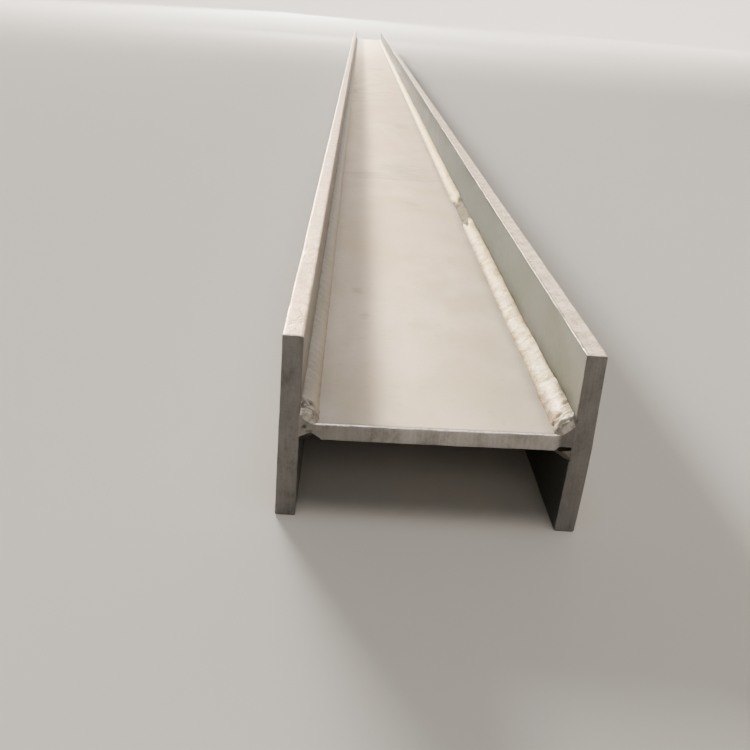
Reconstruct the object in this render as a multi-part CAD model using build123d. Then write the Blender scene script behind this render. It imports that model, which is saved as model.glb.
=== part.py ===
from build123d import *
import os

# A steel I-beam built up from three plates, joined by four long welds.
# It lies with its web level. X runs across the section, from flange to flange, Y runs along the
# beam with the front end at -Y, and Z is up. The origin is at the centre of what it rests on.
# Driving dimensions, in millimetres.

beam_length = 6000.0
section_depth = 180.0          # over the outer faces of the two flanges
flange_width = 112.0           # height of the upright flange plates
flange_thickness = 12.0
web_thickness = 10.0
arris_radius = 1.0             # worn long edges of the flange plates

root_gap = 2.0                 # between the web's nose and each flange, filled with weld metal
web_bevel_depth = 4.0          # into the web's thickness, from each side
web_bevel_run = 4.0            # along the web, away from its nose

weld_leg_on_web = 9.5
weld_leg_on_flange = 9.0
weld_crown = 1.2               # rise of the bead's face over the line between its toes

crater_from_front = 551.0      # where the cover run of the upper right weld stops
crater_length = 146.0          # up to where the cover run starts again
root_run_share = 0.7           # legs of the bare root run in the crater, against the full bead

notch_width = 12.8             # open groove at the front end of the lower left weld
notch_depth = 4.6
notch_length = 15.0
notch_flange_step = 1.0        # how far the groove's flange side stays above the web's underside

# Levels and faces that follow from them.
front_end = -beam_length / 2
back_end = beam_length / 2
web_level = flange_width / 2
flange_face = section_depth / 2 - flange_thickness
web_nose = flange_face - root_gap


def along_beam(section, start, end):
    """Extrude a section that is drawn in the plane Y = 0 from one Y to another."""
    return Pos(0, start, 0) * extrude(section, end - start, dir=(0, 1, 0))


def corner_point(side, level, from_flange, from_web):
    """A point of the section, measured from one inner corner of web and flange."""
    x = side * (flange_face - from_flange)
    z = web_level + level * (web_thickness / 2 + from_web)
    return Vector(x, 0, z)


def flange_plate(side):
    """Upright plate with its four long edges rounded."""
    centre = side * (section_depth - flange_thickness) / 2
    section = Plane.XZ * RectangleRounded(flange_thickness, flange_width, arris_radius)
    return Pos(centre, 0, web_level) * along_beam(section, front_end, back_end)


def web_plate():
    """Level plate with both long edges bevelled from both sides."""
    shoulder = web_nose - web_bevel_run
    half = web_thickness / 2
    land = half - web_bevel_depth
    right_half = [(shoulder, half), (web_nose, land), (web_nose, -land), (shoulder, -half)]
    left_half = [(-x, z) for x, z in reversed(right_half)]
    outline = Polyline([Vector(x, 0, web_level + z) for x, z in right_half + left_half], close=True)
    return along_beam(make_face(outline), front_end, back_end)


def bead_section(side, level, share=1.0, crown=weld_crown):
    """Weld metal in one inner corner: the root, the bevel and a crowned fillet on top."""
    web_leg = weld_leg_on_web * share
    flange_leg = weld_leg_on_flange * share
    slope = Vector(flange_leg, web_leg).normalized()
    root = corner_point(side, level, 0, -web_thickness / 2)
    nose = corner_point(side, level, root_gap, -web_thickness / 2)
    land = corner_point(side, level, root_gap, -web_bevel_depth)
    shoulder = corner_point(side, level, root_gap + web_bevel_run, 0)
    web_toe = corner_point(side, level, web_leg, 0)
    top = corner_point(side, level, web_leg / 2 + crown * slope.X, flange_leg / 2 + crown * slope.Y)
    flange_toe = corner_point(side, level, 0, flange_leg)
    straight = Polyline([flange_toe, root, nose, land, shoulder, web_toe])
    return make_face([*straight.edges(), ThreePointArc(web_toe, top, flange_toe)])


def crater_weld(side, level):
    """Full bead with a stop and restart: the lower root run is bare in between."""
    stop = front_end + crater_from_front
    restart = stop + crater_length
    full = bead_section(side, level)
    weld = along_beam(bead_section(side, level, share=root_run_share), front_end, back_end)
    weld += along_beam(full, front_end, stop)
    weld += along_beam(full, restart, back_end)
    return weld


def open_groove(side, level):
    """V-shaped groove in the corner at the front end, where the bead stops short."""
    mouth = weld_leg_on_flange + weld_crown
    corners = [
        corner_point(side, level, 0, -notch_flange_step),
        corner_point(side, level, notch_width / 2, -notch_depth),
        corner_point(side, level, notch_width, 0),
        corner_point(side, level, notch_width, mouth),
        corner_point(side, level, 0, mouth),
    ]
    section = make_face(Polyline(corners, close=True))
    return along_beam(section, front_end, front_end + notch_length)


left, right = -1, 1
lower, upper = -1, 1
full_length = (front_end, back_end)
groove = open_groove(left, lower)

pieces = {
    "web_plate": web_plate() - groove,
    "flange_plate_left": flange_plate(left),
    "flange_plate_right": flange_plate(right),
    "weld_left_upper": along_beam(bead_section(left, upper), *full_length),
    "weld_left_lower": along_beam(bead_section(left, lower), *full_length) - groove,
    "weld_right_upper": crater_weld(right, upper),
    "weld_right_lower": along_beam(bead_section(right, lower), *full_length),
}

os.makedirs("parts", exist_ok=True)
for name, piece in pieces.items():
    export_step(piece, f"parts/{name}.step")
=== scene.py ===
import math

import bmesh
import bpy
from mathutils import Matrix, Vector, noise


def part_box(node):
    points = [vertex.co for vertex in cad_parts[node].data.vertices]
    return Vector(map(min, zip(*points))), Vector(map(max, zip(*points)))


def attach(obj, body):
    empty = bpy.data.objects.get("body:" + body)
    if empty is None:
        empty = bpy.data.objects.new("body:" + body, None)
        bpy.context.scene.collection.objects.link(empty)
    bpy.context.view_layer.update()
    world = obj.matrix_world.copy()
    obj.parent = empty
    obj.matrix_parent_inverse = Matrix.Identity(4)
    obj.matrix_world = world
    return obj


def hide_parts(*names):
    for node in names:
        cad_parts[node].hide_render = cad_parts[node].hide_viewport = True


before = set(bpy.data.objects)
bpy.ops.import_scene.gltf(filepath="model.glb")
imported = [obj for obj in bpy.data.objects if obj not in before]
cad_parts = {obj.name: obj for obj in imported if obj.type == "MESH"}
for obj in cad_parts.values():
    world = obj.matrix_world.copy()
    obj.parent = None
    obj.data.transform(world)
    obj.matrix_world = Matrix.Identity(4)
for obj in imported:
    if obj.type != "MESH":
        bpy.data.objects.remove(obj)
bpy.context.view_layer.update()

mm = 0.001  # shapes are worked out in millimetres and made metres when a piece is finished
left, right = -1, 1
lower, upper = -1, 1


def nodeBox(name):
    low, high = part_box(name)
    return low / mm, high / mm


webLow, webHigh = nodeBox("web_plate")
flangeLow, flangeHigh = nodeBox("flange_plate_right")
beam = {
    "front": webLow.y,
    "length": webHigh.y - webLow.y,
    "webTop": webHigh.z,
    "webUnder": webLow.z,
    "webMiddle": (webLow.z + webHigh.z) / 2,
    "webNose": webHigh.x,
    "innerFace": flangeLow.x,
    "outerFace": flangeHigh.x,
    "height": flangeHigh.z,
    "lean": 0.018,  # the web sits a little out of level across the section
    "leanOffset": 0.2,
}


def webRise(x):
    return beam["lean"] * x + beam["leanOffset"]


def nearestEnd(distance):
    # how far a place, given from the front end, is from the nearer end of the beam
    return min(distance, beam["length"] - distance)


def smoothStep(start, end, value):
    # 0 at start and 1 at end, which may be the lower number
    share = min(max((value - start) / (end - start), 0.0), 1.0)
    return share * share * (3 - 2 * share)


def fadeOut(start, end, value):
    # 1 at start and 0 at end
    return 1 - smoothStep(start, end, value)


def swell(place, centre, width):
    return math.exp(-((place - centre) / width) ** 2)


def waver(place, scale, seed):
    # smooth noise from -1 to 1 along one length
    return noise.noise(Vector((place / scale, seed, seed * 0.37)))


# Weld legs, which the plates and the beads share. Distances run from the front end.

weldLegs = {
    "web": 10.0,
    "flange": 8.1,
    "wander": 0.45,
    "webWaves": (90, 23),  # lengths of the long and the short waves of the toes
    "flangeWaves": (110, 19),
    "shortWaves": 0.6,  # their height against the long ones
    "craterStart": 551.0,  # on the upper right bead
    "craterEnd": 662.0,
    "craterFade": 6.0,
    "craterShare": 0.86,
    "lump": {
        # the built-up start of the upper beads: where it fades and what it adds to each leg
        left: {"fade": (14, 30), "web": 0.4, "flange": 1.0},
        right: {"fade": (56, 67), "web": 0.4, "flange": 2.6},
    },
    "longSwell": 1.2,  # the upper right bead stays taller on the flange for a while
    "longSwellFade": (130, 190),
}


def craterShare(side, level, distance):
    # 1 on the full bead, less on the bare root run of the stop and restart
    if (side, level) != (right, upper):
        return 1.0
    fade = weldLegs["craterFade"]
    inside = smoothStep(-fade, fade, distance - weldLegs["craterStart"])
    inside *= fadeOut(-fade, fade, distance - weldLegs["craterEnd"])
    return 1 - inside * (1 - weldLegs["craterShare"])


def toeWander(distance, waves, seed):
    long, short = waves
    waving = waver(distance, long, seed) + weldLegs["shortWaves"] * waver(distance, short, seed)
    return weldLegs["wander"] * waving


def beadLegs(side, level, distance):
    seed = 3.1 + side * 1.7 + level * 0.9
    web = weldLegs["web"] + toeWander(distance, weldLegs["webWaves"], seed)
    flange = weldLegs["flange"] + toeWander(distance, weldLegs["flangeWaves"], seed + 5)
    if level == upper:
        start = weldLegs["lump"][side]
        lump = fadeOut(*start["fade"], distance)
        web += lump * start["web"]
        flange += lump * start["flange"]
        if side == right:
            taller = fadeOut(*weldLegs["longSwellFade"], distance)
            flange += (1 - lump) * taller * weldLegs["longSwell"]
    share = craterShare(side, level, distance)
    return web * share, flange * share


# Mesh helpers

def spacedRings(step, endSteps):
    # places along the beam, close together at both ends, as distances from the front end
    first, last = endSteps[-1], beam["length"] - endSteps[-1]
    count = round((last - first) / step)
    middle = [first + (last - first) * i / count for i in range(1, count)]
    return endSteps + middle + [beam["length"] - s for s in reversed(endSteps)]


def gridBlock(stations):
    # a closed block whose six sides are grids through the given places along each axis
    bm = bmesh.new()
    bmesh.ops.create_cube(bm, size=1.0)
    bmesh.ops.translate(bm, vec=(0.5, 0.5, 0.5), verts=bm.verts)
    for axis in (0, 2, 1):
        edges = [e for e in bm.edges if e.verts[0].co[axis] != e.verts[1].co[axis]]
        bmesh.ops.subdivide_edges(bm, edges=edges, cuts=len(stations[axis]) - 2, use_grid_fill=True)
    return bm


def gridIndex(vert, stations):
    return [round(vert.co[axis] * (len(stations[axis]) - 1)) for axis in range(3)]


def roundedCorner(x, z, halfX, halfZ, radius):
    # a point of a rectangle's outline moved onto its rounded corner
    innerX = min(max(x, radius - halfX), halfX - radius)
    innerZ = min(max(z, radius - halfZ), halfZ - radius)
    offX, offZ = x - innerX, z - innerZ
    if abs(offX) < 1e-6 or abs(offZ) < 1e-6:
        return x, z
    reach = radius / math.hypot(offX, offZ)
    return innerX + offX * reach, innerZ + offZ * reach


def endShrink(distance, rounding):
    # how far a face draws in towards a saw cut, along a quarter circle
    short = max(0.0, rounding - nearestEnd(distance))
    return rounding - math.sqrt(max(0.0, rounding ** 2 - short ** 2))


def insetEnd(distance, inset):
    # the two end rings stand back a little from the CAD's ends
    if distance == 0:
        return distance + inset
    if distance == beam["length"]:
        return distance - inset
    return distance


def addObject(name, data):
    made = bpy.data.objects.new(name, data)
    bpy.context.scene.collection.objects.link(made)
    return made


def smoothObject(bm, name, materials):
    bmesh.ops.recalc_face_normals(bm, faces=bm.faces)
    mesh = bpy.data.meshes.new(name)
    bm.to_mesh(mesh)
    bm.free()
    for material in materials:
        mesh.materials.append(material)
    mesh.polygons.foreach_set("use_smooth", [True] * len(mesh.polygons))
    return addObject(name, mesh)


def finishPiece(bm, name, materials, node, sharpAngle=38):
    bmesh.ops.scale(bm, vec=(mm, mm, mm), verts=bm.verts)
    piece = smoothObject(bm, name, materials)
    mesh = piece.data
    mesh.set_sharp_from_angle(angle=math.radians(sharpAngle))
    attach(piece, "root")
    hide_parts(node)
    print("made", name, len(mesh.vertices), "points", len(mesh.polygons), "faces")


# Shader maths

def feed(node, inputs):
    # links or sets the sockets of a node
    for name, value in inputs.items():
        if isinstance(value, Wire):
            node.id_data.links.new(value.socket, node.inputs[name])
        else:
            node.inputs[name].default_value = value


class Wire:
    # one output of a material's node, with arithmetic
    def __init__(self, socket):
        self.socket = socket

    def node(self, kind, settings, inputs, output=0):
        made = self.socket.id_data.nodes.new("ShaderNode" + kind)
        for name, value in settings.items():
            setattr(made, name, value)
        feed(made, inputs)
        return Wire(made.outputs[output])

    def parts(self):
        first = self.node("SeparateXYZ", {}, {0: self})
        return [Wire(s) for s in first.socket.node.outputs]

    def maths(self, operation, *values):
        return self.node("Math", {"operation": operation}, dict(enumerate(values)))

    def __add__(self, other):
        return self.maths("ADD", self, other)

    def __radd__(self, other):
        return self.maths("ADD", other, self)

    def __sub__(self, other):
        return self.maths("SUBTRACT", self, other)

    def __rsub__(self, other):
        return self.maths("SUBTRACT", other, self)

    def __mul__(self, other):
        return self.maths("MULTIPLY", self, other)

    def __rmul__(self, other):
        return self.maths("MULTIPLY", other, self)

    def size(self):
        return self.maths("ABSOLUTE", self)

    def least(self, other):
        return self.maths("MINIMUM", self, other)

    def most(self, other):
        return self.maths("MAXIMUM", self, other)

    def ramp(self, start, end):
        # 0 before start and 1 past end, turning smoothly
        settings = {"interpolation_type": "SMOOTHSTEP"}
        return self.node("MapRange", settings, {0: self, 1: start, 2: end, 3: 0.0, 4: 1.0})

    def vectorMaths(self, operation, other):
        return self.node("VectorMath", {"operation": operation}, {0: self, 1: other})

    def stretched(self, x, y, z):
        return self.vectorMaths("MULTIPLY", (x, y, z))

    def cloud(self, scale, detail=3.0, roughness=0.55, distortion=0.0):
        sockets = {"Vector": self, "Scale": scale, "Detail": detail, "Roughness": roughness,
                   "Distortion": distortion}
        return self.node("TexNoise", {}, sockets)

    def spot(self, centre, radii, softness):
        # 1 inside an ellipsoid and 0 outside, with a soft edge
        off = self.vectorMaths("SUBTRACT", centre).stretched(*(1 / r for r in radii))
        length = off.node("VectorMath", {"operation": "LENGTH"}, {0: off}, "Value")
        return 1 - length.ramp(1 - softness, 1 + softness)

    def jittered(self, scale, amount):
        # the same places shaken by noise, so that a spot laid on them is ragged
        shake = self.node("TexNoise", {}, {"Vector": self, "Scale": scale, "Detail": 2.0}, "Color")
        shake = shake.vectorMaths("SUBTRACT", (0.5, 0.5, 0.5)).stretched(amount, amount, amount)
        return self.vectorMaths("ADD", shake)

    def painted(self, name):
        # what a mesh carries at its points under this name
        return self.node("Attribute", {"attribute_name": name}, {}, "Fac")

    def blend(self, first, second):
        # the first colour where this mask is 0, the second where it is 1
        return self.node("Mix", {"data_type": "RGBA"}, {0: self, 6: first, 7: second}, 2)

    def tint(self, mask, colour):
        # this colour, turned towards another one where the mask is 1
        return mask.blend(self, colour)

    def shade(self, mask, colour):
        # this colour multiplied by another one where the mask is 1
        settings = {"data_type": "RGBA", "blend_type": "MULTIPLY"}
        return self.node("Mix", settings, {0: mask, 6: self, 7: colour}, 2)


def rgb(red, green, blue):
    return (red, green, blue, 1.0)


def grey(level):
    return rgb(level, level, level)


def newFinish(name, metallic=1.0, grazing=(1.0, 1.0, 1.0), dirtGloss=0.1):
    # grazing tints what a metal mirrors at a flat angle, and dirtGloss is for dirt, which isn't metal
    material = bpy.data.materials.new(name)
    material.use_nodes = True
    nodes = material.node_tree.nodes
    surface = nodes["Principled BSDF"]
    feed(surface, {"Metallic": metallic, "Specular Tint": rgb(*grazing), "Specular IOR Level": dirtGloss})
    return material, surface, Wire(nodes.new("ShaderNodeTexCoord").outputs["Object"])


def relief(height, strength, depth):
    sockets = {"Strength": strength, "Distance": depth * mm, "Height": height}
    return height.node("Bump", {}, sockets, "Normal")


def along(y, start, end):
    # 0 up to one distance from the front end and 1 from another, for a wire with places in metres
    return y.ramp((beam["front"] + start) * mm, (beam["front"] + end) * mm)


def across(x, start, end):
    return x.ramp(start * mm, end * mm)


def spots(place, listed, softness=0.6):
    # one mask with every listed (distance, x, z, length, width) in millimetres
    total = None
    for distance, x, z, length, width in listed:
        centre = (x * mm, (beam["front"] + distance) * mm, z * mm)
        mask = place.spot(centre, (width * mm, length * mm, width * mm), softness)
        total = mask if total is None else total.most(mask)
    return total


# Finishes. In each dictionary "grain" holds the noise scales: the larger, the finer. "bump" gives the
# strength of the finest relief and its depth in millimetres.

tones = {
    "plate": rgb(0.655, 0.58, 0.53),
    "platePale": rgb(0.76, 0.695, 0.63),
    "plateOlive": rgb(0.61, 0.565, 0.465),
    # painted light on the far end of the web
    "platePaintedLight": rgb(0.98, 0.92, 0.82),
    "dirt": rgb(0.27, 0.245, 0.215),
    # near black: dirt with painted shade in the toes, pits and groove ends
    "undercut": rgb(0.11, 0.10, 0.088),
    "edge": rgb(0.90, 0.79, 0.67),
    "edgeDull": rgb(0.62, 0.54, 0.45),
    "burr": rgb(0.88, 0.84, 0.79),
    "burrDull": rgb(0.62, 0.58, 0.53),
    # dark tones of the cut ends: a duller finish together with painted shade
    "sawn": rgb(0.285, 0.277, 0.268),
    "sawnDark": rgb(0.207, 0.202, 0.196),
    "webEnd": rgb(0.62, 0.59, 0.565),
    "webEndDark": rgb(0.42, 0.395, 0.37),
    "weld": rgb(0.38, 0.352, 0.31),
    "weldOlive": rgb(0.33, 0.31, 0.262),
    # painted highlight on the beads
    "weldPaintedHighlight": rgb(0.52, 0.455, 0.375),
    "crater": rgb(0.20, 0.215, 0.225),
    "weldEnd": rgb(0.62, 0.585, 0.53),
    "weldEndDark": rgb(0.40, 0.37, 0.325),
    # near black: painted shade in holes and pits
    "void": rgb(0.02, 0.018, 0.015),
    "floor": rgb(0.57, 0.56, 0.54),
}

skin = {
    "grain": {"clouds": 9, "olive": 22, "mottle": 170, "fine": 1300, "lines": 420, "scuffs": 60},
    "oliveStrength": 0.9,
    "mottleShade": rgb(0.94, 0.925, 0.91),
    "scuffShade": rgb(0.88, 0.85, 0.82),
    "scuffStrength": 0.3,
    "roughness": 0.47,
    "bump": (0.3, 0.4),
}


def plateSkin(place):
    # blasted and pickled skin: broad clouds, faint rolling lines, fine grain and scuffs
    grain = skin["grain"]
    clouds = place.stretched(1, 0.3, 1).cloud(grain["clouds"], 4, 0.6)
    olive = place.stretched(1, 0.5, 1).cloud(grain["olive"], 3, 0.55)
    mottle = place.cloud(grain["mottle"], 3, 0.6)
    fine = place.cloud(grain["fine"], 2, 0.6)
    lines = place.stretched(grain["lines"], 5, grain["lines"]).cloud(1, 3, 0.6)
    scuffs = place.stretched(grain["scuffs"], 9, grain["scuffs"]).cloud(1, 5, 0.7, 0.4).ramp(0.66, 0.80)
    colour = clouds.ramp(0.32, 0.70).blend(tones["platePale"], tones["plate"])
    colour = colour.tint(olive.ramp(0.42, 0.68) * skin["oliveStrength"], tones["plateOlive"])
    colour = colour.shade(mottle.ramp(0.50, 0.78), skin["mottleShade"])
    colour = colour.shade(scuffs * skin["scuffStrength"], skin["scuffShade"])
    roughness = skin["roughness"] + clouds * 0.08 + mottle * 0.05 - scuffs * 0.06
    height = fine + mottle * 0.5 + lines * 0.35 - scuffs * 0.1
    return colour, roughness, height


webLook = {
    "grazing": (1.0, 0.83, 0.62),
    "grain": {"ragged": 45, "jitter": 80},
    "jitter": 0.012,  # metres by which the edges of stains are shaken
    "farEnd": (2200, 5200),  # painted light: the web grows paler towards the far end over this stretch
    "paintedFarLightStrength": 0.9,
    "leftStrip": (-46, -20),  # painted shadow of the left flange on the web, fading out over this width
    "leftShadowStripNear": (100, 700),  # and is weaker before this stretch
    "leftShadowStripShade": rgb(0.60, 0.68, 0.84),
    "dirtStrength": 0.42,
    "scratchStrength": 0.2,
    "toeShadowStrength": 0.6,
    "dirt": [
        # distance from the front end, x, z, length and width
        (816, 10, 61, 11, 62), (842, -8, 61, 18, 50), (905, 20, 61, 60, 30),
        (645, 21, 61, 9, 7), (655, 12, 61, 5, 4), (268, -47, 61, 9, 4), (202, -40.5, 61, 8, 3.5),
        (2150, -58, 61, 60, 7), (2420, -60, 61, 50, 5), (1420, 35, 61, 40, 14), (3100, 10, 61, 60, 25),
    ],
    "scratches": [
        (372, 12, 61, 22, 0.3), (418, 16, 61, 16, 0.3), (160, -12, 61, 30, 0.4), (530, -30, 61, 60, 0.5),
        (92, 31, 61, 16, 0.4), (1010, -14, 61, 90, 0.6), (1260, 24, 61, 70, 0.6),
    ],
}


def webFinish():
    material, surface, place = newFinish("web_skin", 1.0, webLook["grazing"])
    grain = webLook["grain"]
    x, y = place.parts()[:2]
    colour, roughness, height = plateSkin(place)
    ragged = place.stretched(1, 2.5, 1).cloud(grain["ragged"], 4, 0.65)
    dirt = spots(place.jittered(grain["jitter"], webLook["jitter"]), webLook["dirt"])
    dirt = dirt * ragged.ramp(0.3, 0.65)
    scratches = spots(place, webLook["scratches"], 0.8)
    # painted shadow beside the welds' toes, given the dirt tone
    dirty = place.painted("grime") * (0.6 + ragged * 0.6)
    # painted light, paler towards the far end, with less roughness there
    farEnd = along(y, *webLook["farEnd"])
    # painted shadow of the left flange along the web's left side, bluish and weaker near the front
    leftStrip = (1 - across(x, *webLook["leftStrip"])) * (0.75 + along(y, *webLook["leftShadowStripNear"]) * 0.25)
    colour = colour.tint(farEnd * webLook["paintedFarLightStrength"], tones["platePaintedLight"])
    colour = colour.shade(leftStrip, webLook["leftShadowStripShade"])
    colour = colour.tint(dirt * webLook["dirtStrength"], tones["dirt"])
    colour = colour.tint(scratches * webLook["scratchStrength"], tones["edge"])
    colour = colour.tint((dirty * webLook["toeShadowStrength"]).least(1.0), tones["dirt"])
    feed(surface, {
        "Base Color": colour,
        "Metallic": 1 - (dirty * 0.7).most(dirt * 0.3).least(1.0),
        "Roughness": roughness + dirt * 0.12 + dirty * 0.14 - farEnd * 0.09,
        "Normal": relief(height - scratches * 0.3, *skin["bump"]),
    })
    return material


flangeLook = {
    "grain": 120,
    "innerDepth": (1.2, 1.8),  # below the inner face, where its painted shade gives way to the edge's
    "paintedShadeFront": (1000, 3400),  # the inner face's painted shade weakens over this stretch
    "paintedShadeFade": 0.8,
    "scratchStrength": 0.75,
    "scratches": [
        (690, 78, 103, 5, 1.1), (702, 78, 98, 4, 0.8), (897, 78, 102, 7, 1.2), (915, 78, 95, 5, 0.9),
        (330, 78, 88, 18, 0.5), (470, 78, 96, 24, 0.5), (225, -78, 84, 20, 0.5),
    ],
}


def flangeFinish(name, grazing, innerShade):
    material, surface, place = newFinish(name, 1.0, grazing)
    x, y = place.parts()[:2]
    colour, roughness, height = plateSkin(place)
    inner = 1 - across(x.size(), *(beam["innerFace"] + depth for depth in flangeLook["innerDepth"]))
    dull = 1 - along(y, *flangeLook["paintedShadeFront"]) * flangeLook["paintedShadeFade"]
    ragged = place.cloud(flangeLook["grain"], 4, 0.65)
    scratches = spots(place, flangeLook["scratches"])
    dirty = place.painted("grime") * (0.5 + ragged)
    # painted shade on the inner faces between the flanges, strongest near the front end
    colour = colour.shade(inner * dull, innerShade)
    colour = colour.tint(scratches * flangeLook["scratchStrength"], tones["dirt"])
    # dark toe crease: dirt in the undercut with painted shade
    colour = colour.tint(dirty.least(1.0), tones["undercut"])
    feed(surface, {
        "Base Color": colour,
        "Metallic": 1 - (dirty * 0.8).least(1.0),
        "Roughness": roughness + dirty * 0.15 - inner * 0.08,
        "Normal": relief(height - scratches, *skin["bump"]),
    })
    return material


edgeLook = {
    "grain": {"mottle": 150, "blotches": 38, "pits": 430},
    "oliveStrength": 0.5,
    "pitShade": rgb(0.58, 0.54, 0.50),
    "arrisDepth": (0.9, 1.8),  # from the inner face, where the painted shade on the arris ends
    "arrisPaintedShade": rgb(0.50, 0.48, 0.46),
    "bump": (0.6, 0.6),
}


def edgeFinish(name, grazing, shade, dullArris):
    # long edges of the flanges: brighter, mottled and pitted, with painted shade on the inner arris or none
    material, surface, place = newFinish(name, 1.0, grazing)
    grain = edgeLook["grain"]
    x = place.parts()[0]
    mottle = place.stretched(1, 0.6, 1).cloud(grain["mottle"], 4, 0.65)
    blotches = place.stretched(1, 0.4, 1).cloud(grain["blotches"], 3, 0.6)
    pits = place.stretched(1, 0.7, 1).cloud(grain["pits"], 2, 0.55)
    colour = mottle.ramp(0.40, 0.64).blend(tones["edge"], tones["edgeDull"])
    colour = colour.tint(blotches.ramp(0.5, 0.7) * edgeLook["oliveStrength"], tones["plateOlive"])
    colour = colour.shade(pits.ramp(0.56, 0.70), edgeLook["pitShade"])
    # painted shade: darkens the left flange's edges against the right's
    colour = colour.shade(1.0, shade)
    arris = 1 - across(x.size(), *(beam["innerFace"] + depth for depth in edgeLook["arrisDepth"]))
    # painted shade on the right flange's inner arris, going on from its inner face's
    colour = colour.shade(arris * (0.4 + mottle) * dullArris, edgeLook["arrisPaintedShade"])
    height = mottle * 0.8 + blotches - pits.ramp(0.55, 0.75) * 0.6
    normal = relief(height, *edgeLook["bump"])
    feed(surface, {"Base Color": colour, "Roughness": 0.40 + mottle * 0.2, "Normal": normal})
    return material


burrLook = {"grain": 260, "bump": (0.5, 0.4)}


def burrFinish():
    # burr along the saw cuts: bare bright metal
    material, surface, place = newFinish("bright_burr")
    nicks = place.cloud(burrLook["grain"], 3, 0.6)
    colour = nicks.ramp(0.4, 0.7).blend(tones["burr"], tones["burrDull"])
    normal = relief(nicks, *burrLook["bump"])
    feed(surface, {"Base Color": colour, "Roughness": 0.32 + nicks * 0.2, "Normal": normal})
    return material


sawnLook = {
    "grain": {"blotches": 75, "specks": 520, "jitter": 600},
    "lineGrain": (700, 1, 28),  # stretched so that the saw lines stand upright
    "jitter": 0.0022,
    "blotchShade": rgb(0.78, 0.77, 0.76),
    "speckShade": rgb(0.84, 0.82, 0.80),
    "leftPaintedShadeFade": (-62, -10),
    "rightFade": (68, 72),
    "bump": (0.5, 0.5),
    "holes": [
        # distance, x, z, length and width of holes seen in the cut ends
        (0, -75.4, 57.5, 3, 1.1), (0, -76.9, 66.0, 3, 0.8), (0, 75.4, 48.4, 3, 1.3),
        (0, 77.2, 46.9, 3, 1.2), (0, 77.6, 71.8, 4, 1.2),
    ],
}


def sawnFinish(name, pale, dark, leftShade, rightShade):
    # cut ends: dull, with fine upright saw lines, blotches and a few holes, the holes painted near black as
    # their shade
    material, surface, place = newFinish(name)
    grain = sawnLook["grain"]
    x = place.parts()[0]
    lines = place.stretched(*sawnLook["lineGrain"]).cloud(1, 4, 0.65)
    blotches = place.stretched(1, 1, 0.6).cloud(grain["blotches"], 4, 0.65)
    specks = place.cloud(grain["specks"], 3, 0.6)
    holes = spots(place.jittered(grain["jitter"], sawnLook["jitter"]), sawnLook["holes"], 0.7)
    colour = (lines.ramp(0.32, 0.70) * 0.35 + blotches.ramp(0.35, 0.68) * 0.6).blend(pale, dark)
    colour = colour.shade(blotches.ramp(0.52, 0.72), sawnLook["blotchShade"])
    colour = colour.shade(specks.ramp(0.55, 0.72), sawnLook["speckShade"])
    # painted shade, darker towards the left of each cut end
    colour = colour.shade(1 - across(x, *sawnLook["leftPaintedShadeFade"]), grey(leftShade))
    colour = colour.shade(across(x, *sawnLook["rightFade"]), grey(rightShade))
    colour = colour.tint(holes * (0.35 + specks * 0.9), tones["void"])
    normal = relief(lines * 0.5 + specks * 0.5 + blotches - holes * 2, *sawnLook["bump"])
    feed(surface, {"Base Color": colour, "Roughness": 0.52 + blotches * 0.2, "Normal": normal})
    return material


weldLook = {
    "grain": {"clouds": 30, "blotches": 120, "fine": 520},
    "farAway": (500, 1500),  # the near shade turns into the far one over this stretch
    "blotchShade": rgb(0.68, 0.66, 0.63),
    "fineShade": rgb(0.66, 0.645, 0.62),
    "farContrast": 0.45,  # how much of the contrast is lost far away
    "bump": (0.2, 0.8),
    "contrastBump": 0.4,  # what the contrast adds to the bump's strength
}


def weldFinish(name, grazing, contrast, nearShade, farShade):
    # pickled weld metal: paler than the plate, blotched, darkened in the toes and pits by dirt and painted
    # shade, and with a painted highlight
    material, surface, place = newFinish(name, 1.0, grazing)
    grain = weldLook["grain"]
    y = place.parts()[1]
    clouds = place.stretched(1, 0.5, 1).cloud(grain["clouds"], 3, 0.6)
    blotches = place.cloud(grain["blotches"], 4, 0.65)
    fine = place.cloud(grain["fine"], 3, 0.65)
    dirty = place.painted("grime")
    bright = place.painted("crest")
    bare = place.painted("crater")
    farAway = along(y, *weldLook["farAway"])
    fading = contrast - farAway * (contrast * weldLook["farContrast"])
    colour = clouds.ramp(0.36, 0.68).blend(tones["weld"], tones["weldOlive"])
    colour = colour.shade(farAway, farShade).shade(1 - farAway, nearShade)
    # painted highlight
    colour = colour.tint(bright * (0.5 + blotches * 0.8), tones["weldPaintedHighlight"])
    colour = colour.tint(bare * (0.6 + clouds * 0.6), tones["crater"])
    colour = colour.shade(blotches.ramp(0.48, 0.66) * fading, weldLook["blotchShade"])
    colour = colour.shade(fine.ramp(0.50, 0.66) * fading, weldLook["fineShade"])
    colour = colour.tint((dirty * (0.6 + blotches)).least(1.0), tones["undercut"])
    strength, depth = weldLook["bump"]
    feed(surface, {
        "Base Color": colour,
        "Metallic": 1 - dirty * 0.5,
        "Roughness": 0.50 + blotches * 0.16 + dirty * 0.15 + bare * 0.2,
        "Normal": relief(blotches + fine * 0.6, strength + fading * weldLook["contrastBump"], depth),
    })
    return material


lumpLook = {
    "grain": {"lumps": 210, "pits": 400},
    "pitStrength": 0.6,
    "bump": (0.5, 0.9),
}


def lumpFinish():
    # the beads' blunt ends: coarse, with bright beads of metal and pits painted near black as their shade
    material, surface, place = newFinish("weld_end")
    lumps = place.cloud(lumpLook["grain"]["lumps"], 3, 0.6)
    pits = place.cloud(lumpLook["grain"]["pits"], 2, 0.55)
    colour = lumps.ramp(0.40, 0.62).blend(tones["weldEnd"], tones["weldEndDark"])
    colour = colour.tint(pits.ramp(0.62, 0.74) * lumpLook["pitStrength"], tones["void"])
    normal = relief(lumps + pits * 0.3, *lumpLook["bump"])
    feed(surface, {"Base Color": colour, "Roughness": 0.55 + lumps * 0.25, "Normal": normal})
    return material


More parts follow.
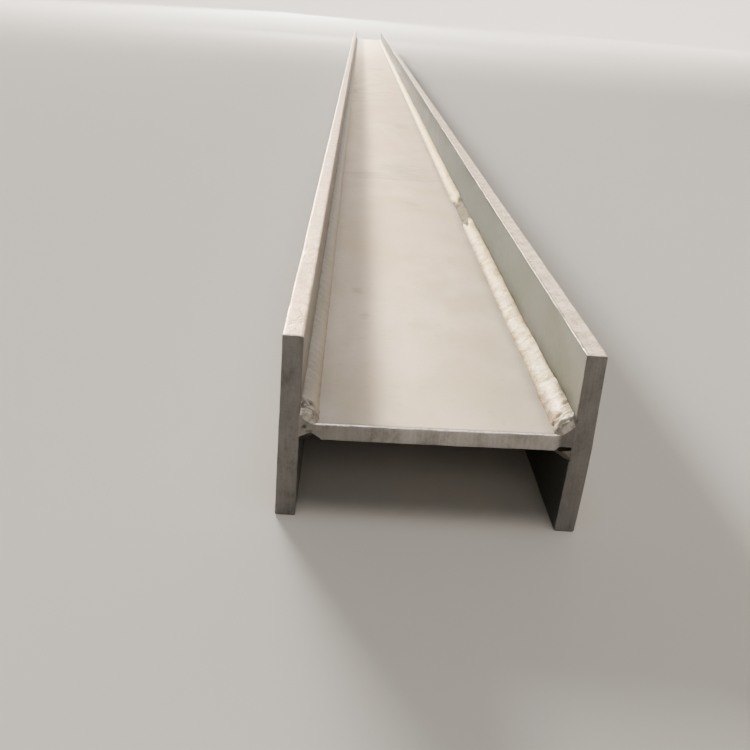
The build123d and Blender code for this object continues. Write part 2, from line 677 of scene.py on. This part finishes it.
finishes = {
    "web": webFinish(),
    "burr": burrFinish(),
    "weldEnd": lumpFinish(),
    "flangeEnd": sawnFinish("sawn_flange_end", tones["sawn"], tones["sawnDark"], 0.90, 1.0),
    "webEnd": sawnFinish("sawn_web_end", tones["webEnd"], tones["webEndDark"], 0.55, 0.45),
    # the left and right copies are tinted and shaded apart to paint how the light falls on each side: painted
    # light and shade
    "flange": {
        left: flangeFinish("flange_skin_left", (0.56, 0.58, 0.62), rgb(0.58, 0.60, 0.63)),
        right: flangeFinish("flange_skin_right", (0.21, 0.25, 0.30), rgb(0.44, 0.49, 0.52)),
    },
    "edge": {
        left: edgeFinish("edge_skin_left", (0.82, 0.72, 0.62), rgb(0.60, 0.56, 0.52), 0.0),
        right: edgeFinish("edge_skin_right", (0.94, 0.86, 0.76), grey(1.0), 1.0),
    },
    "weld": {
        left: weldFinish("weld_skin_left", (0.60, 0.58, 0.585), 0.3,
                         rgb(0.80, 0.82, 0.86), rgb(0.82, 0.84, 0.88)),
        right: weldFinish("weld_skin_right", (0.47, 0.405, 0.30), 0.95,
                          rgb(0.89, 0.89, 0.82), rgb(0.78, 0.77, 0.69)),
    },
}
print("finishes made")


def dressPlate(bm, skinCount):
    # faces take the finish of the side that they face: skin, flange edge, saw cut or the burr between
    for face in bm.faces:
        face.normal_update()
        if abs(face.normal.y) > 0.8:
            face.material_index = skinCount
        elif face.normal.z > 0.2 and abs(face.normal.y) > 0.15:
            face.material_index = skinCount + 1
        elif skinCount == 2 and abs(face.normal.z) > 0.6:
            face.material_index = 1


# Flange plates

flange = {
    "arris": 1.0,
    "arrisWear": 0.35,
    "topInnerArris": 0.4,  # share of the arris there, on the right plate
    "lowerLean": 2.2,  # how far the right plate's foot is drawn in by the welds
    "leanCurve": 1.3,
    "across": [0, 0.3, 0.8, 1.7, 4, 8, 10.3, 11.2, 11.7, 12],
    "upTo": [0, 0.3, 0.8, 1.7, 3.4, 9, 20, 32],  # from an edge towards the weld
    "toeRows": [-2.5, 0.1, 0.7, 1.4, 2.6, 5.0],  # followed along each weld's toe
    "undercut": 0.5,
    "undercutFade": (0.6, 2.4),  # distances from the toe
    "dirtAndShadeFade": (0.2, 4.5),
    "endRound": 0.8,
    "lowerEndRound": 0.6,  # share of the rounding below the web
    "leastRound": 0.3,
    "endSkin": 1.4,  # depth below a face over which it draws in at the ends
    "endSteps": [0, 0.2, 0.5, 0.9, 1.5, 2.5, 4, 6, 8.5, 11.5, 15, 20, 27, 36],
    "ringStep": 6.0,
    "edgeWave": 0.3,
    "edgeReach": 9,
    "dentWidth": 2.2,
    "dentHeight": 2.5,
    "dents": {
        # distance, place across from the inner face, depth and reach of knocks in the top edges
        left: [(58, 11.5, 0.6, 4), (24, 0.5, 0.6, 3.5), (181, 11.8, 0.5, 5), (342, 0.4, 0.5, 6)],
        right: [(13, 0.5, 0.8, 4), (34, 0.2, 0.7, 3), (99, 0.3, 0.9, 4.5), (236, 0.4, 0.5, 6),
                (410, 0.2, 0.6, 5)],
    },
}


def flangeRows():
    # heights on the flange: plain rows as numbers, rows on a weld's toe as (level, offset)
    height = beam["height"]
    rows = [("plain", z) for z in flange["upTo"]]
    rows += [(lower, off) for off in reversed(flange["toeRows"])]
    rows += [("plain", beam["webMiddle"])]
    rows += [(upper, off) for off in flange["toeRows"]]
    rows += [("plain", height - z) for z in reversed(flange["upTo"])]
    return rows


def toeWear(level, distance, offToe, seed):
    # depth of the undercut beside a weld's toe, and how dark the toe is painted: dirt with painted shade in
    # the crease
    worn = waver(distance, 21, seed + level) + 0.5 * waver(distance, 6, seed)
    worn = smoothStep(-0.05, 0.6, worn)
    undercut = flange["undercut"] * worn * fadeOut(*flange["undercutFade"], offToe)
    return undercut, (0.25 + 0.6 * worn) * fadeOut(*flange["dirtAndShadeFade"], offToe) ** 1.5


def wavyEdge(x, z, halfZ, distance, seed):
    # the long edges wander, and the upper ones are uneven too
    high = 1 if z > 0 else -1
    edge = smoothStep(halfZ - flange["edgeReach"], halfZ, abs(z)) * flange["edgeWave"]
    corner = seed + high + (x > 0)
    x += edge * (waver(distance, 75, corner + 7) * 0.7 + waver(distance, 17, corner + 9) * 0.5)
    if high == 1:
        uneven = noise.noise(Vector((distance / 5, x / 4, seed)))
        z += edge * (waver(distance, 140, seed + 13) * 0.8 + 0.35 * uneven)
    return x, z


def knocked(x, z, side, halfX, halfZ, distance):
    # the upper edges are pressed down and in where they were knocked
    fromInner = halfX + side * x
    for place, inset, depth, reach in flange["dents"][side]:
        far = math.hypot((distance - place) / reach, (fromInner - inset) / flange["dentWidth"],
                         (halfZ - z) / flange["dentHeight"])
        if far < 1:
            push = depth * (1 - far * far) ** 2
            z -= push
            x -= math.copysign(push / 2, x)
    return x, z


def flangePlate(side, name, node):
    rows = flangeRows()
    rings = spacedRings(flange["ringStep"], flange["endSteps"])
    stations = [flange["across"], rings, rows]
    thickness = beam["outerFace"] - beam["innerFace"]
    halfX, halfZ = thickness / 2, beam["height"] / 2
    centre = side * (beam["innerFace"] + halfX)
    innerColumn = 0 if side == right else len(flange["across"]) - 1
    toes = {level: [beadLegs(side, level, d)[1] for d in rings] for level in (lower, upper)}
    seed = 20 + side * 4
    bm = gridBlock(stations)
    grime = bm.verts.layers.float.new("grime")
    for vert in bm.verts:
        i, j, k = gridIndex(vert, stations)
        distance = rings[j]
        x = flange["across"][i] - halfX
        kind, value = rows[k]
        undercut = 0.0
        if kind == "plain":
            z = value - halfZ
        else:
            surface = beam["webTop"] if kind == upper else beam["webUnder"]
            z = surface + webRise(side * beam["innerFace"]) + kind * (toes[kind][j] + value) - halfZ
            if i == innerColumn and value > 0:
                undercut, vert[grime] = toeWear(kind, distance, value, seed)
        radius = flange["arris"] + flange["arrisWear"] * waver(distance, 30, seed + (x > 0) + 2 * (z > 0))
        if side == right and z > 0 and x < 0:
            radius *= flange["topInnerArris"]
        x, z = roundedCorner(x, z, halfX, halfZ, radius)
        x, z = wavyEdge(x, z, halfZ, distance, seed)
        rounding = flange["endRound"]
        if z > 0:
            x, z = knocked(x, z, side, halfX, halfZ, distance)
        else:
            rounding *= flange["lowerEndRound"]
        rounding += 0.3 * waver(x + z, 7, seed + 17)
        shrink = endShrink(distance, max(flange["leastRound"], rounding))
        if abs(x) > halfX - flange["endSkin"]:
            x -= math.copysign(shrink, x)
        if abs(z) > halfZ - flange["endSkin"]:
            z -= math.copysign(shrink, z)
        x += side * undercut
        if side == right:
            x -= flange["lowerLean"] * max(0.0, -z / halfZ) ** flange["leanCurve"]
        vert.co = Vector((centre + x, beam["front"] + distance, halfZ + z))
    dressPlate(bm, 2)
    materials = [finishes["flange"][side], finishes["edge"][side], finishes["flangeEnd"], finishes["burr"]]
    finishPiece(bm, name, materials, node)


# Web plate

web = {
    "bevelRun": 4.0,
    "bevelDepth": 4.0,
    "outer": [0, 1, 2, 4, 4.5, 5.2, 6.4, 7.4, 8.4, 9.4, 10.8, 12.6, 15, 19, 26, 36, 48, 62],  # from the nose
    "heights": [-1, -0.5, 0, 0.5, 1],
    "endRound": 1.7,
    "lowerEndRound": 0.3,  # share of the rounding on the underside
    "leastRound": 0.3,
    "endRoundFade": (5, 9),  # from the nose, where the saw cut's rounding begins
    "endInset": 0.10,
    "endSteps": [0, 0.2, 0.5, 0.9, 1.5, 2.5, 4, 6, 8, 9.5, 11, 13, 15, 17, 20, 27, 36],
    "ringStep": 7.0,
    "wave": 0.22,
    "rootGap": 2.0,
    "shadow": {left: 0.25, right: 1.2},  # painted shadow on the web beside each upper weld's toe
    "shadowFade": (-1.0, 8.5),
}
groove = {
    # open grooves at the front end of the lower welds, measured from the flange
    left: {"width": 12.8, "apex": 6.4, "depth": 4.6, "flangeStep": 1.0, "length": 15.0, "fade": 4},
    right: {"width": 9.4, "apex": 7.2, "depth": 2.5, "flangeStep": 2.2, "length": 11.0, "fade": 4},
}


def grooveRise(side, fromFlange, distance):
    # how far the open groove cuts up into the web's underside at the front end
    shape = groove[side]
    if fromFlange >= shape["width"]:
        return 0.0
    if fromFlange > shape["apex"]:
        rise = shape["depth"] * (shape["width"] - fromFlange) / (shape["width"] - shape["apex"])
    else:
        rise = shape["flangeStep"] + (shape["depth"] - shape["flangeStep"]) * fromFlange / shape["apex"]
    return rise * fadeOut(shape["length"] - shape["fade"], shape["length"], distance)


def webHeight(x, share, distance):
    # height over the web's middle, from the bevelled and grooved section to the rounded saw cuts
    side = right if x > 0 else left
    half = (beam["webTop"] - beam["webUnder"]) / 2
    inwards = beam["webNose"] - abs(x)
    thick = half - web["bevelDepth"] * (1 - min(1.0, inwards / web["bevelRun"]))
    z = share * thick
    fromFlange = inwards + web["rootGap"]
    rise = grooveRise(side, fromFlange, distance)
    if share < 0 and rise > 0.05:
        hidden = 0.3 if fromFlange < groove[side]["apex"] else 0.0
        z = thick + (rise + hidden - half - thick) * (1 - share) / 2
    rounding = web["endRound"] * (web["lowerEndRound"] if share < 0 else 1.0)
    rounding = rounding + 0.5 * waver(x, 11, 41) + 0.35 * waver(x, 3.5, 43)
    shrink = endShrink(distance, max(web["leastRound"], rounding))
    z -= shrink * smoothStep(*web["endRoundFade"], inwards) * share
    return z + web["wave"] * (waver(distance, 260, 31 + x / 60) + 0.5 * waver(distance, 90, 35 + x / 40))


def webPlate(name, node):
    nose = beam["webNose"]
    columns = [-(nose - off) for off in web["outer"]] + [0.0] + [nose - off for off in reversed(web["outer"])]
    rings = spacedRings(web["ringStep"], web["endSteps"])
    stations = [columns, rings, web["heights"]]
    toes = {side: [beadLegs(side, upper, d)[0] for d in rings] for side in (left, right)}
    bm = gridBlock(stations)
    grime = bm.verts.layers.float.new("grime")
    for vert in bm.verts:
        i, j, k = gridIndex(vert, stations)
        x, distance = columns[i], rings[j]
        side = right if x > 0 else left
        z = webHeight(x, web["heights"][k], distance)
        offToe = nose - abs(x) + web["rootGap"] - toes[side][j]
        stained = 0.75 + 0.5 * waver(distance, 34, 47 + side)
        vert[grime] = web["shadow"][side] * stained * fadeOut(*web["shadowFade"], offToe)
        y = beam["front"] + insetEnd(distance, web["endInset"])
        vert.co = Vector((x, y, beam["webMiddle"] + webRise(x) + z))
    dressPlate(bm, 1)
    materials = [finishes["web"], finishes["webEnd"], finishes["burr"]]
    finishPiece(bm, name, materials, node)


# Weld beads. Across a bead's face t runs from 0 at the web's toe to 1 at the flange's.

bead = {
    "arcPoints": 13,
    "crown": 1.3,
    "crownWander": 0.4,
    "ripple": {left: 0.012, right: 0.04},
    "rippleShape": [(0.0, -1.0), (0.28, 0.35), (0.62, 1.0)],  # places along a ripple and heights there
    "pitch": 4.6,
    "pitchWander": 0.35,
    "crescent": 1.8,  # how far a ripple's middle runs ahead of its ends
    "mottle": 0.22,
    "toeSink": 0.18,
    "flangeSink": 0.65,
    "endSink": 0.9,  # added to both at the very ends
    "endRound": 9.0,
    "endHollow": 1.2,
    "endInset": 0.05,
    "endSteps": [0, 0.3, 0.8, 1.5, 2.3, 3.3, 4.4, 5.6, 7.0, 8.6, 10.3, 12.0],
    "prongLength": 13.0,  # the forked end of the front run, and the tongue of the far one
    "tongueLength": 16.0,
    "craterCrown": 0.15,
    "rugged": 1.0,  # roughness of the rounded ends
    "lumpyEnd": 11.0,
    "lumpFade": {left: (14, 26), right: (50, 70)},
    "lumpCrown": {left: 1.0, right: 1.3},
    "lumpRough": {left: 1.6, right: 0.5},
    "foldPlace": 67,  # a cold fold across the upper right bead
    "foldSlant": 8,
    # painted shade deep in the lower beads' open front grooves, and a little darkening at the upper beads'
    # ends
    "endDirtAndShade": {lower: 1.8, upper: 0.12},
    "endDirtAndShadeReach": {lower: 34, upper: 13},
    # painted highlight on the left bead's web side
    "leftPaintedHighlight": 0.8,
    "pits": {
        # distance, t, reach and depth of each
        (left, lower): [(22, 0.4, 2.5, 0.8)],
        (right, lower): [(5, 0.8, 2.2, 1.2)],
        (left, upper): [(2, 0.96, 2.2, 1.5), (7.5, 0.95, 2, 1.1), (13, 0.55, 2.6, 0.8), (5, 0.3, 2.4, 0.6)],
        (right, upper): [(10.5, 0.02, 2.2, 0.9), (1, 0.97, 2.6, 1.6), (24, 0.93, 2.5, 0.8),
                         (4, 0.62, 2.4, 0.8), (562, 0.03, 5, 0.7), (14, 0.45, 2.4, 0.6)],
    },
    "faceWidth": 14,  # millimetres that t stands for, in the pits
    "sharpAngle": 60,
}


def beadRings(seed):
    # ring places along the bead with the ripple's height at each
    rings = [(d, 0.0) for d in bead["endSteps"]]
    distance = bead["endSteps"][-1] + 1.5
    last = beam["length"] - distance
    while distance < last:
        pitch = bead["pitch"] * (1 + bead["pitchWander"] * waver(distance, 11, seed))
        height = 0.9 + 0.9 * waver(distance, 19, seed + 2)
        rings += [(distance + share * pitch, level * height) for share, level in bead["rippleShape"]]
        distance += pitch
    rings = [r for r in rings if r[0] < last]
    return rings + [(beam["length"] - d, 0.0) for d in reversed(bead["endSteps"])]


def faceNoise(distance, length, t, turns, seed):
    return noise.noise(Vector((distance / length, t * turns, seed)))


def coverShare(distance, t):
    # 1 where the cover run lies on the upper right weld, 0 in the crater between its ends
    prongs = bead["prongLength"] * (math.cos(2 * math.pi * (t - 0.15) / 0.62) + 1.5 * (t - 0.15))
    frontRun = smoothStep(-6, 6, weldLegs["craterStart"] - 20 + prongs - distance)
    tongue = bead["tongueLength"] * (2 * t - 0.9) ** 2
    farRun = smoothStep(-9, 9, distance - weldLegs["craterEnd"] + 9 - tongue)
    return max(frontRun, farRun)


def craterCrown(height, arch, distance, t):
    # the upper right bead's face, low in the crater and with raised rims at its two ends
    covered = coverShare(distance, t)
    height = height * covered + bead["craterCrown"] * arch * (1 - covered)
    rims = swell(distance, weldLegs["craterStart"] - 3, 7) * (1 - swell(t, 0.45, 0.14))
    height += 0.55 * arch * rims * covered
    return height + 0.4 * arch * swell(distance, weldLegs["craterEnd"] + 10, 9) * covered


def crownHeight(side, level, distance, t, seed):
    # how far the bead's face stands out over the line between its toes
    arch = math.sin(math.pi * min(max(t, 0.0), 1.0)) ** 0.8
    height = bead["crown"] + bead["crownWander"] * waver(distance, 45, seed + 11)
    height *= arch
    lumpy = 0.0
    if level == upper:
        lumpy = fadeOut(*bead["lumpFade"][side], distance)
        built = lumpy * bead["lumpCrown"][side] * arch
        if side == right:
            height = craterCrown(height, arch, distance, t)
            built *= 0.85 + 0.4 * waver(distance, 16, seed + 3)
        height += built
        if side == right:
            fold = bead["foldPlace"] - bead["foldSlant"] * t
            folded = swell(distance, fold, 2.2) - 0.3 * swell(distance, fold + 6, 3.5)
            height += folded * 0.6 * arch * smoothStep(0.95, 0.5, t)
    rough = (0.4 + lumpy * bead["lumpRough"][side]) * bead["mottle"]
    height += 2 * rough * faceNoise(distance, 6.5, t, 2.6, seed + 1)
    height += rough * faceNoise(distance, 2.6, t, 6, seed + 4)
    return height


def beadPits(side, level, distance, t):
    # depth of the pits at a place, and how dark it is painted there: dirt with painted shade
    depth, dirty = 0.0, 0.0
    for place, pitT, reach, deep in bead["pits"][side, level]:
        far = math.hypot(distance - place, (t - pitT) * bead["faceWidth"]) / reach
        if far < 1.3:
            depth += deep * max(0.0, 1 - far * far)
            dirty = max(dirty, fadeOut(0.3, 1.25, far))
    return depth, dirty


def beadToes(side, level, distance, dome):
    webLeg, flangeLeg = beadLegs(side, level, distance)
    fine = 0.25 * waver(distance, 8, side * 5 + level * 3)
    lump = fadeOut(8, 20, distance) if level == upper else 0.0
    webLeg += fine + 0.7 * lump * waver(distance, 5, 71 + side)
    flangeLeg += 0.8 * fine + 0.6 * lump * waver(distance, 6, 77 + side)
    return webLeg * (0.82 + 0.18 * dome), flangeLeg * (0.75 + 0.25 * dome)


def facePoint(side, level, distance, ripple, t, seed):
    # a point of the open face, measured from the corner of web and flange, and its shift along
    atEnd = nearestEnd(distance)
    endRound = bead["endRound"] * (0.6 + 0.7 * t + 0.25 * waver(t * 10, 3, seed + 5))
    dome = math.sqrt(max(0.0, 1 - (1 - min(1.0, atEnd / endRound)) ** 2))
    webLeg, flangeLeg = beadToes(side, level, distance, dome)
    sink = bead["endSink"] * fadeOut(0, 2, atEnd)
    webToe = Vector((webLeg, -bead["toeSink"] - sink))
    flangeToe = Vector((-bead["flangeSink"] - sink, flangeLeg))
    outwards = Vector((flangeLeg, webLeg)).normalized()
    arch = math.sin(math.pi * t)
    height = crownHeight(side, level, distance, t, seed) * dome - bead["endHollow"] * (1 - dome) * arch
    height += ripple * bead["ripple"][side] * arch ** 0.5
    rugged = bead["rugged"] * smoothStep(0, 2, atEnd) * fadeOut(9, 20, atEnd)
    height += rugged * faceNoise(distance, 2.6, t, 5, seed + 6)
    height += 0.5 * rugged * faceNoise(distance, 1.4, t, 11, seed + 7)
    height -= beadPits(side, level, distance, t)[0]
    shift = rugged * faceNoise(distance, 4, t, 5, seed + 8)
    shift += bead["crescent"] * ((2 * t - 1) ** 2 - 0.5) * min(1.0, atEnd / 12)
    return webToe.lerp(flangeToe, t) + outwards * height, shift


def beadCorners():
    # the hidden side: along the flange behind the root, the web's nose and its bevel
    gap = web["rootGap"] + 0.4
    middle = (beam["webUnder"] - beam["webTop"]) / 2
    return [(-1.2, middle), (gap, middle), (gap, -web["bevelDepth"]), (gap + web["bevelRun"], -0.3)]


def hiddenPoint(side, level, distance, index, slotted):
    # a point behind the face, drawn back at the front end where the groove or slot is open
    shape = groove[side]
    spot = Vector(beadCorners()[index])
    if (side, level) == (left, lower) and index == 3:
        spot = spot.lerp(Vector((shape["apex"], -shape["depth"] - 0.4)), slotted)
    if (side, level) == (right, lower):
        uneven = 0.1 + 0.7 * waver(distance + 2 * spot.x, 5, 83) - 0.25 * max(0.0, 2 - spot.x)
        spot = spot.lerp(Vector((min(7.5, spot.x), uneven)), slotted)
    if (side, level) == (right, upper) and index < 2:
        spot.y -= slotted * ((beam["webTop"] - beam["webUnder"]) / 2 - shape["depth"] - 0.1)
    return spot


def faceGrime(side, level, distance, t, seed):
    # how dark a point is painted: dirt and shade in the pits, painted shade in the crease at each toe and in
    # the open groove ends
    atEnd = nearestEnd(distance)
    dirty = beadPits(side, level, distance, t)[1]
    undercut = smoothStep(0.86, 1.0, t) * smoothStep(0, 0.5, waver(distance, 18, seed) + 0.2)
    roughEnd = bead["endDirtAndShade"][level] * fadeOut(2, bead["endDirtAndShadeReach"][level], atEnd)
    return max(0.55 * dirty, 0.5 * undercut, 0.2 * fadeOut(0, 0.12, t), roughEnd)


def faceCrest(side, distance, t, seed):
    # painted highlight on an upper bead: along its crest, at the fold, the prong tips and the front lump,
    # fading far along; on the left bead, towards the web's toe
    if side == left:
        return bead["leftPaintedHighlight"] * smoothStep(0.75, 0.15, t)
    ridge = swell(t, 0.28, 0.2) * (0.45 + 0.5 * waver(distance, 12, seed + 9))
    tips = 0.7 * swell(distance, weldLegs["craterStart"] - 8, 20)
    fold = bead["foldPlace"] - 1 - bead["foldSlant"] * t
    fold = 1.3 * swell(distance, fold, 3.0) * smoothStep(0.9, 0.5, t)
    lump = fadeOut(50, 66, distance) * (1 - 0.75 * smoothStep(0.5, 0.95, t)) * smoothStep(2, 9, distance)
    fade = 1 - 0.7 * smoothStep(450, 900, distance)
    return max(0.0, ridge, lump, tips, fold) * coverShare(distance, t) * fade


def weldBead(side, level, name, node):
    seed = 50 + side * 6 + level * 3
    rings = beadRings(seed)
    arc = bead["arcPoints"]
    columns = arc + len(beadCorners())
    surface = beam["webTop"] if level == upper else beam["webUnder"]
    shape = groove[side]
    grooveFlank = Vector((shape["apex"], -shape["depth"])), Vector((-1.2, -shape["flangeStep"]))
    bm = bmesh.new()
    bmesh.ops.create_grid(bm, x_segments=columns, y_segments=len(rings) - 1, size=0.5)
    grime, crest, crater = (bm.verts.layers.float.new(n) for n in ("grime", "crest", "crater"))
    for vert in bm.verts:
        column = round((vert.co.x + 0.5) * columns) % columns
        distance, ripple = rings[round((vert.co.y + 0.5) * (len(rings) - 1))]
        y = insetEnd(distance, bead["endInset"])
        slotted = fadeOut(shape["length"] + 1 - shape["fade"], shape["length"] + 1, distance)
        if column < arc:
            t = column / (arc - 1)
            spot, shift = facePoint(side, level, distance, ripple, t, seed)
            y += shift
            vert[grime] = faceGrime(side, level, distance, t, seed)
            if (side, level) == (left, lower):
                spot = spot.lerp(grooveFlank[0].lerp(grooveFlank[1], t), slotted)
            if level == upper:
                vert[crest] = faceCrest(side, distance, t, seed)
            if (side, level) == (right, upper):
                vert[crater] = 1 - coverShare(distance, t)
        else:
            spot = hiddenPoint(side, level, distance, column - arc, slotted)
        x = side * (beam["innerFace"] - spot.x)
        vert.co = Vector((x, beam["front"] + y, surface + webRise(x) + level * spot.y))
    bmesh.ops.remove_doubles(bm, verts=bm.verts, dist=0.0005)
    rims = [e for e in bm.edges if e.is_boundary]
    caps = bmesh.ops.holes_fill(bm, edges=rims, sides=0)["faces"]
    for face in bm.faces:
        face.normal_update()
        atEnd = nearestEnd(face.calc_center_median().y - beam["front"])
        if level == upper and abs(face.normal.y) > 0.22 and atEnd < bead["lumpyEnd"]:
            face.material_index = 1
    for face in caps:
        face.material_index = 2
    materials = [finishes["weld"][side], finishes["weldEnd"], finishes["webEnd"]]
    finishPiece(bm, name, materials, node, bead["sharpAngle"])


for side, sideName in ((left, "left"), (right, "right")):
    flangePlate(side, "flange_" + sideName, "flange_plate_" + sideName)
webPlate("web", "web_plate")
for side, sideName in ((left, "left"), (right, "right")):
    for level, levelName in ((upper, "upper"), (lower, "lower")):
        weldBead(side, level, f"bead_{sideName}_{levelName}", f"weld_{sideName}_{levelName}")


# Floor, light and camera, in metres

stageSet = {
    "flatRadius": 16.0,
    "rimRadius": 12.0,
    "rimSteps": 12,
    "wallHeight": 3.0,
    "steps": 96,
    "floorRoughness": 0.9,
    "lightColour": (1.0, 0.92, 0.825),
    "sky": rgb(1.0, 0.98, 0.95),
    "skyStrength": 0.16,
    "lights": {
        # place, target, width, height, power, lean and spread
        "far_light": ((-4.2, 14.0, 4.0), (0, -0.5, 0), 1.7, 9.5, 1760, -46, 70),
        "wall_light": ((2.0, 8.0, 14.0), (3.0, 27.0, 4.0), 16.0, 3.0, 15000, 0, 180),
        "right_light": ((4.6, 14.0, 4.6), (0, -0.5, 0), 2.0, 4.0, 260, 0, 180),
        "end_light": ((-0.4, 4.6, 1.1), (0, 2.6, 0), 0.9, 0.7, 33, 0, 180),
        "top_light": ((0.6, -3.4, 4.2), (0, -2.6, 0), 3.0, 2.0, 90, 0, 180),
        "front_light": ((0.4, -8.0, 3.2), (0, -3.0, 0), 3.0, 2.0, 36, 0, 180),
    },
}


def bowlFloor():
    # a round floor that turns up at its rim, so no horizon shows
    bm = bmesh.new()
    flat, rim, rimSteps = stageSet["flatRadius"], stageSet["rimRadius"], stageSet["rimSteps"]
    profile = [Vector((0, 0, 0)), Vector((flat, 0, 0))]
    for i in range(1, rimSteps + 1):
        turn = math.pi / 2 * i / rimSteps
        profile.append(Vector((flat + rim * math.sin(turn), 0, rim * (1 - math.cos(turn)))))
    profile.append(profile[-1] + Vector((0, 0, stageSet["wallHeight"])))
    verts = [bm.verts.new(p) for p in profile]
    edges = [bm.edges.new(pair) for pair in zip(verts, verts[1:])]
    bmesh.ops.spin(bm, geom=verts + edges, axis=(0, 0, 1), cent=(0, 0, 0), steps=stageSet["steps"],
                   angle=2 * math.pi, use_merge=True)
    bmesh.ops.remove_doubles(bm, verts=bm.verts, dist=0.001)
    material, surface = newFinish("pale_floor", metallic=0.0, dirtGloss=0.0)[:2]
    feed(surface, {"Base Color": tones["floor"], "Roughness": stageSet["floorRoughness"]})
    smoothObject(bm, "floor", [material])


def softLight(name, place, target, width, height, power, lean, spread):
    # a rectangular light aimed at the target, its top leaning left by the given degrees
    lamp = bpy.data.lights.new(name, "AREA")
    lamp.shape = "RECTANGLE"
    lamp.size, lamp.size_y = width, height
    lamp.energy = power
    lamp.color = stageSet["lightColour"]
    lamp.spread = math.radians(spread)
    holder = addObject(name, lamp)
    holder.location = place
    aim = (Vector(target) - Vector(place)).to_track_quat("-Z", "Y").to_matrix()
    holder.rotation_euler = (aim @ Matrix.Rotation(math.radians(lean), 3, "Z")).to_euler()
    holder.visible_camera = False


camera = {
    "lens": 45.2,
    "sensor": 36,
    "place": (-0.0587, -3.485, 0.2828),
    "pitch": 21.471,  # down
    "yaw": -2.465,
    "roll": 4.676,
    "clip": (0.01, 200),
}


def setCamera():
    pitch, yaw, roll = (math.radians(camera[k]) for k in ("pitch", "yaw", "roll"))
    sideways = Vector((math.cos(yaw), math.sin(yaw), 0))
    ahead = Vector((-math.sin(yaw), math.cos(yaw), 0))
    skyward = Vector((0, 0, 1))
    look = ahead * math.cos(pitch) - skyward * math.sin(pitch)
    rise = skyward * math.cos(pitch) + ahead * math.sin(pitch)
    rolledSideways = sideways * math.cos(roll) + rise * math.sin(roll)
    rolledRise = rise * math.cos(roll) - sideways * math.sin(roll)
    data = bpy.data.cameras.new("camera")
    data.lens = camera["lens"]
    data.sensor_width = camera["sensor"]
    data.clip_start, data.clip_end = camera["clip"]
    holder = addObject("camera", data)
    turned = Matrix((rolledSideways, rolledRise, -look)).transposed().to_4x4()
    holder.matrix_world = Matrix.Translation(Vector(camera["place"])) @ turned
    bpy.context.scene.camera = holder


def setWorld():
    world = bpy.data.worlds.new("studio")
    world.use_nodes = True
    background = world.node_tree.nodes["Background"]
    feed(background, {"Color": stageSet["sky"], "Strength": stageSet["skyStrength"]})
    bpy.context.scene.world = world


bowlFloor()
for lightName, placed in stageSet["lights"].items():
    softLight(lightName, *placed)
setCamera()
setWorld()
print("stage set")
